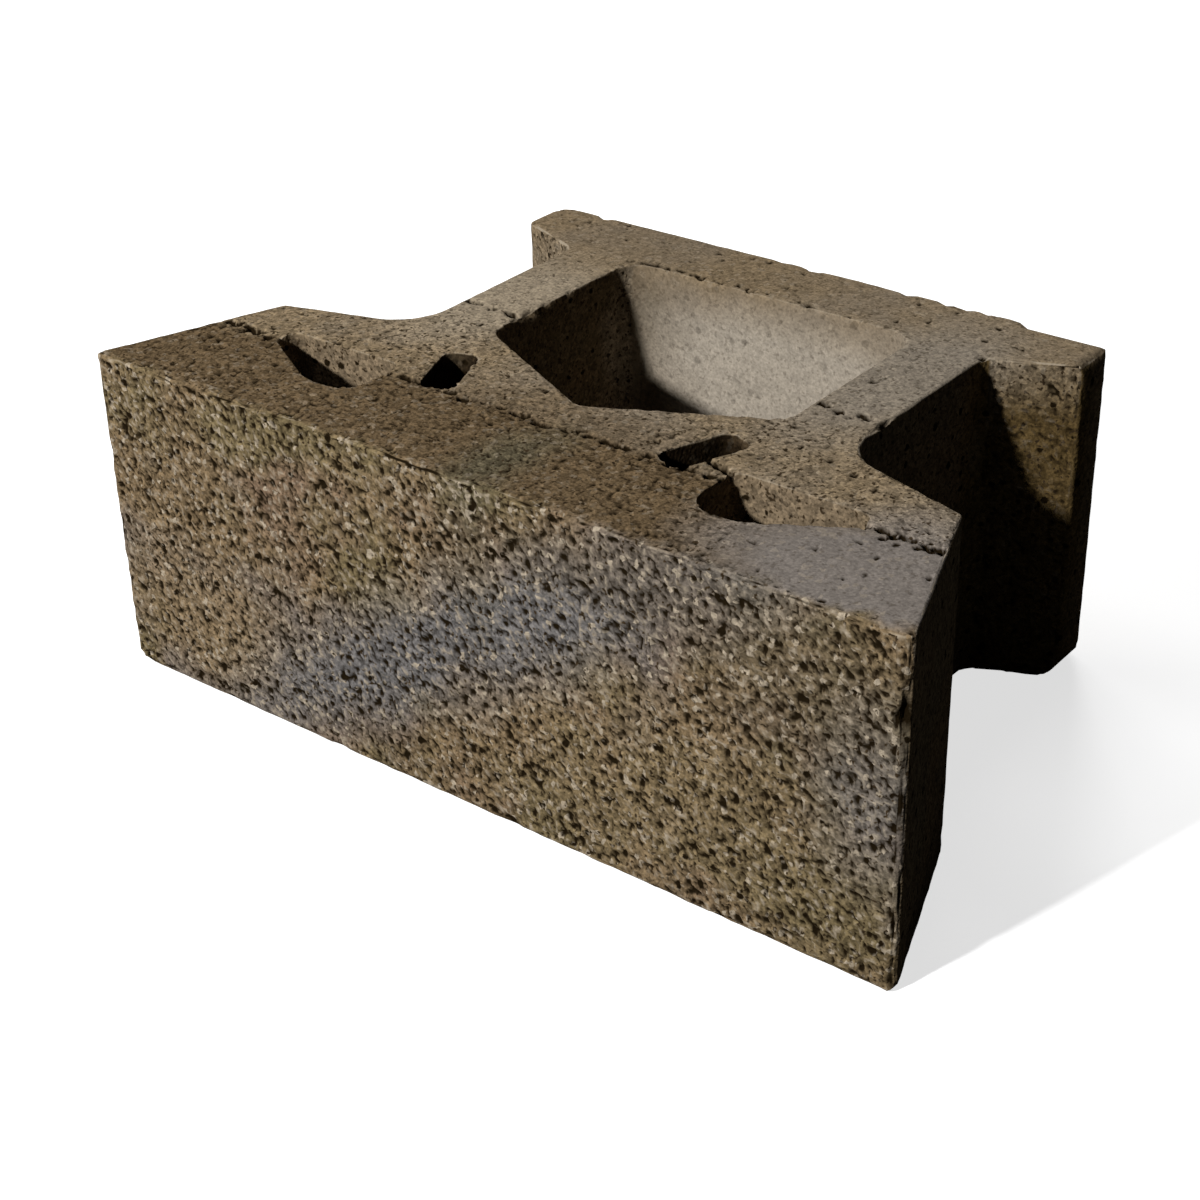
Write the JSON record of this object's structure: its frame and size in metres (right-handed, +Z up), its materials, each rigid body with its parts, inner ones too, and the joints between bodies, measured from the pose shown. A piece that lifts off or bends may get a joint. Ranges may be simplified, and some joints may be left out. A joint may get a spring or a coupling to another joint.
{
  "type": "retaining wall block",
  "caption": "Waisted concrete wall block with a rough tapered face, shield-shaped core, kidney holes, pin slots and a winged tail, stacked in pinned courses to hold back soil.",
  "frame": {"origin": "middle of the plan box, on the bottom bed", "axes": "+X along the face to the right as seen from the front, +Y from the face to the tail, +Z up"},
  "size_m": [0.4038, 0.254, 0.1524],
  "materials": {
    "concrete": "dry-cast concrete, rough face in mixed brown and charcoal, finer top"
  },
  "bodies": {
    "root": {"wall_block": "concrete"}
  },
  "joints": []
}
